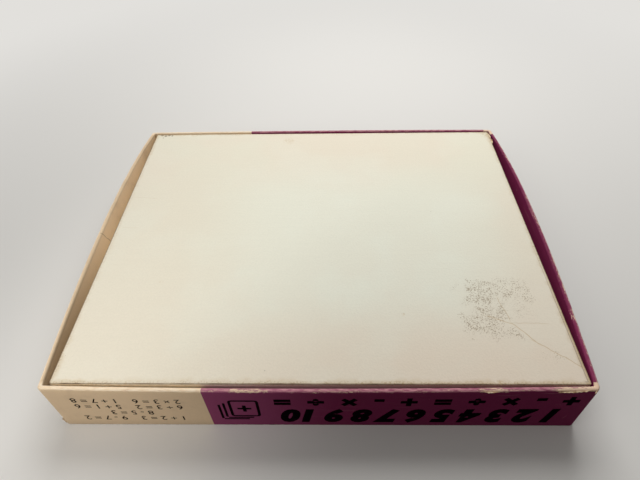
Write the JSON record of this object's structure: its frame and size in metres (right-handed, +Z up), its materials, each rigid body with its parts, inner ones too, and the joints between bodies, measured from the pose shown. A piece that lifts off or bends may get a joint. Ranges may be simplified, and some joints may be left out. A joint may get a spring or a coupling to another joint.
{
  "type": "flash card box",
  "caption": "Shallow lidded paperboard box for a deck of flash cards, lying on its cover with the white tray nested base up in a lid of cream and purple paper.",
  "frame": {"origin": "middle of the lid's cover face, at its folds, where the box lies on the table", "axes": "+X along the long walls to the right, +Y from the front wall to the back wall, +Z up from the cover face, the way the tray lifts out"},
  "size_m": [0.1587, 0.1271, 0.022],
  "materials": {
    "lid_paper": "satin",
    "tray_paper": "matte",
    "chipboard": "matte",
    "stay_tape": "matte",
    "card_stock": "satin"
  },
  "bodies": {
    "lid": {"lid_board": "chipboard", "lid_wrap": "lid_paper", "lid_stay_front_left": "stay_tape", "lid_stay_front_right": "stay_tape", "lid_stay_back_right": "stay_tape", "lid_stay_back_left": "stay_tape"},
    "tray": {"tray_board": "chipboard", "tray_wrap": "tray_paper", "tray_stay_front_left": "stay_tape", "tray_stay_front_right": "stay_tape", "tray_stay_back_right": "stay_tape", "tray_stay_back_left": "stay_tape"},
    "card_01": {"card_01": "card_stock"},
    "card_02": {"card_02": "card_stock"},
    "card_03": {"card_03": "card_stock"},
    "card_04": {"card_04": "card_stock"},
    "card_05": {"card_05": "card_stock"},
    "card_06": {"card_06": "card_stock"},
    "card_07": {"card_07": "card_stock"},
    "card_08": {"card_08": "card_stock"},
    "card_09": {"card_09": "card_stock"},
    "card_10": {"card_10": "card_stock"},
    "card_11": {"card_11": "card_stock"},
    "card_12": {"card_12": "card_stock"},
    "card_13": {"card_13": "card_stock"},
    "card_14": {"card_14": "card_stock"},
    "card_15": {"card_15": "card_stock"},
    "card_16": {"card_16": "card_stock"},
    "card_17": {"card_17": "card_stock"},
    "card_18": {"card_18": "card_stock"},
    "card_19": {"card_19": "card_stock"},
    "card_20": {"card_20": "card_stock"},
    "card_21": {"card_21": "card_stock"},
    "card_22": {"card_22": "card_stock"},
    "card_23": {"card_23": "card_stock"},
    "card_24": {"card_24": "card_stock"},
    "card_25": {"card_25": "card_stock"},
    "card_26": {"card_26": "card_stock"},
    "card_27": {"card_27": "card_stock"},
    "card_28": {"card_28": "card_stock"},
    "card_29": {"card_29": "card_stock"},
    "card_30": {"card_30": "card_stock"},
    "card_31": {"card_31": "card_stock"},
    "card_32": {"card_32": "card_stock"},
    "card_33": {"card_33": "card_stock"},
    "card_34": {"card_34": "card_stock"},
    "card_35": {"card_35": "card_stock"},
    "card_36": {"card_36": "card_stock"}
  },
  "joints": [
    {"name": "tray_lift", "type": "slide", "parent": "lid", "child": "tray", "axis": [0, 0, 1], "range_m": [0, 0.054]},
    {"name": "card_01_lift", "type": "slide", "parent": "lid", "child": "card_01", "axis": [0, 0, 1], "range_m": [0, 0.0225]},
    {"name": "card_02_lift", "type": "slide", "parent": "lid", "child": "card_02", "axis": [0, 0, 1], "range_m": [0, 0.0229]},
    {"name": "card_03_lift", "type": "slide", "parent": "lid", "child": "card_03", "axis": [0, 0, 1], "range_m": [0, 0.0233]},
    {"name": "card_04_lift", "type": "slide", "parent": "lid", "child": "card_04", "axis": [0, 0, 1], "range_m": [0, 0.0237]},
    {"name": "card_05_lift", "type": "slide", "parent": "lid", "child": "card_05", "axis": [0, 0, 1], "range_m": [0, 0.0241]},
    {"name": "card_06_lift", "type": "slide", "parent": "lid", "child": "card_06", "axis": [0, 0, 1], "range_m": [0, 0.0245]},
    {"name": "card_07_lift", "type": "slide", "parent": "lid", "child": "card_07", "axis": [0, 0, 1], "range_m": [0, 0.0249]},
    {"name": "card_08_lift", "type": "slide", "parent": "lid", "child": "card_08", "axis": [0, 0, 1], "range_m": [0, 0.0253]},
    {"name": "card_09_lift", "type": "slide", "parent": "lid", "child": "card_09", "axis": [0, 0, 1], "range_m": [0, 0.0257]},
    {"name": "card_10_lift", "type": "slide", "parent": "lid", "child": "card_10", "axis": [0, 0, 1], "range_m": [0, 0.0261]},
    {"name": "card_11_lift", "type": "slide", "parent": "lid", "child": "card_11", "axis": [0, 0, 1], "range_m": [0, 0.0265]},
    {"name": "card_12_lift", "type": "slide", "parent": "lid", "child": "card_12", "axis": [0, 0, 1], "range_m": [0, 0.0269]},
    {"name": "card_13_lift", "type": "slide", "parent": "lid", "child": "card_13", "axis": [0, 0, 1], "range_m": [0, 0.0273]},
    {"name": "card_14_lift", "type": "slide", "parent": "lid", "child": "card_14", "axis": [0, 0, 1], "range_m": [0, 0.0277]},
    {"name": "card_15_lift", "type": "slide", "parent": "lid", "child": "card_15", "axis": [0, 0, 1], "range_m": [0, 0.0281]},
    {"name": "card_16_lift", "type": "slide", "parent": "lid", "child": "card_16", "axis": [0, 0, 1], "range_m": [0, 0.0285]},
    {"name": "card_17_lift", "type": "slide", "parent": "lid", "child": "card_17", "axis": [0, 0, 1], "range_m": [0, 0.0289]},
    {"name": "card_18_lift", "type": "slide", "parent": "lid", "child": "card_18", "axis": [0, 0, 1], "range_m": [0, 0.0293]},
    {"name": "card_19_lift", "type": "slide", "parent": "lid", "child": "card_19", "axis": [0, 0, 1], "range_m": [0, 0.0297]},
    {"name": "card_20_lift", "type": "slide", "parent": "lid", "child": "card_20", "axis": [0, 0, 1], "range_m": [0, 0.0301]},
    {"name": "card_21_lift", "type": "slide", "parent": "lid", "child": "card_21", "axis": [0, 0, 1], "range_m": [0, 0.0305]},
    {"name": "card_22_lift", "type": "slide", "parent": "lid", "child": "card_22", "axis": [0, 0, 1], "range_m": [0, 0.0309]},
    {"name": "card_23_lift", "type": "slide", "parent": "lid", "child": "card_23", "axis": [0, 0, 1], "range_m": [0, 0.0313]},
    {"name": "card_24_lift", "type": "slide", "parent": "lid", "child": "card_24", "axis": [0, 0, 1], "range_m": [0, 0.0317]},
    {"name": "card_25_lift", "type": "slide", "parent": "lid", "child": "card_25", "axis": [0, 0, 1], "range_m": [0, 0.0321]},
    {"name": "card_26_lift", "type": "slide", "parent": "lid", "child": "card_26", "axis": [0, 0, 1], "range_m": [0, 0.0325]},
    {"name": "card_27_lift", "type": "slide", "parent": "lid", "child": "card_27", "axis": [0, 0, 1], "range_m": [0, 0.0329]},
    {"name": "card_28_lift", "type": "slide", "parent": "lid", "child": "card_28", "axis": [0, 0, 1], "range_m": [0, 0.0333]},
    {"name": "card_29_lift", "type": "slide", "parent": "lid", "child": "card_29", "axis": [0, 0, 1], "range_m": [0, 0.0337]},
    {"name": "card_30_lift", "type": "slide", "parent": "lid", "child": "card_30", "axis": [0, 0, 1], "range_m": [0, 0.0341]},
    {"name": "card_31_lift", "type": "slide", "parent": "lid", "child": "card_31", "axis": [0, 0, 1], "range_m": [0, 0.0345]},
    {"name": "card_32_lift", "type": "slide", "parent": "lid", "child": "card_32", "axis": [0, 0, 1], "range_m": [0, 0.0349]},
    {"name": "card_33_lift", "type": "slide", "parent": "lid", "child": "card_33", "axis": [0, 0, 1], "range_m": [0, 0.0353]},
    {"name": "card_34_lift", "type": "slide", "parent": "lid", "child": "card_34", "axis": [0, 0, 1], "range_m": [0, 0.0357]},
    {"name": "card_35_lift", "type": "slide", "parent": "lid", "child": "card_35", "axis": [0, 0, 1], "range_m": [0, 0.0361]},
    {"name": "card_36_lift", "type": "slide", "parent": "lid", "child": "card_36", "axis": [0, 0, 1], "range_m": [0, 0.0365]}
  ],
  "couplings": [
    {"joint": "card_01_lift", "follows": "tray_lift", "ratio": 0.41667},
    {"joint": "card_02_lift", "follows": "tray_lift", "ratio": 0.42407},
    {"joint": "card_03_lift", "follows": "tray_lift", "ratio": 0.43148},
    {"joint": "card_04_lift", "follows": "tray_lift", "ratio": 0.43889},
    {"joint": "card_05_lift", "follows": "tray_lift", "ratio": 0.4463},
    {"joint": "card_06_lift", "follows": "tray_lift", "ratio": 0.4537},
    {"joint": "card_07_lift", "follows": "tray_lift", "ratio": 0.46111},
    {"joint": "card_08_lift", "follows": "tray_lift", "ratio": 0.46852},
    {"joint": "card_09_lift", "follows": "tray_lift", "ratio": 0.47593},
    {"joint": "card_10_lift", "follows": "tray_lift", "ratio": 0.48333},
    {"joint": "card_11_lift", "follows": "tray_lift", "ratio": 0.49074},
    {"joint": "card_12_lift", "follows": "tray_lift", "ratio": 0.49815},
    {"joint": "card_13_lift", "follows": "tray_lift", "ratio": 0.50556},
    {"joint": "card_14_lift", "follows": "tray_lift", "ratio": 0.51296},
    {"joint": "card_15_lift", "follows": "tray_lift", "ratio": 0.52037},
    {"joint": "card_16_lift", "follows": "tray_lift", "ratio": 0.52778},
    {"joint": "card_17_lift", "follows": "tray_lift", "ratio": 0.53519},
    {"joint": "card_18_lift", "follows": "tray_lift", "ratio": 0.54259},
    {"joint": "card_19_lift", "follows": "tray_lift", "ratio": 0.55},
    {"joint": "card_20_lift", "follows": "tray_lift", "ratio": 0.55741},
    {"joint": "card_21_lift", "follows": "tray_lift", "ratio": 0.56481},
    {"joint": "card_22_lift", "follows": "tray_lift", "ratio": 0.57222},
    {"joint": "card_23_lift", "follows": "tray_lift", "ratio": 0.57963},
    {"joint": "card_24_lift", "follows": "tray_lift", "ratio": 0.58704},
    {"joint": "card_25_lift", "follows": "tray_lift", "ratio": 0.59444},
    {"joint": "card_26_lift", "follows": "tray_lift", "ratio": 0.60185},
    {"joint": "card_27_lift", "follows": "tray_lift", "ratio": 0.60926},
    {"joint": "card_28_lift", "follows": "tray_lift", "ratio": 0.61667},
    {"joint": "card_29_lift", "follows": "tray_lift", "ratio": 0.62407},
    {"joint": "card_30_lift", "follows": "tray_lift", "ratio": 0.63148},
    {"joint": "card_31_lift", "follows": "tray_lift", "ratio": 0.63889},
    {"joint": "card_32_lift", "follows": "tray_lift", "ratio": 0.6463},
    {"joint": "card_33_lift", "follows": "tray_lift", "ratio": 0.6537},
    {"joint": "card_34_lift", "follows": "tray_lift", "ratio": 0.66111},
    {"joint": "card_35_lift", "follows": "tray_lift", "ratio": 0.66852},
    {"joint": "card_36_lift", "follows": "tray_lift", "ratio": 0.67593}
  ]
}
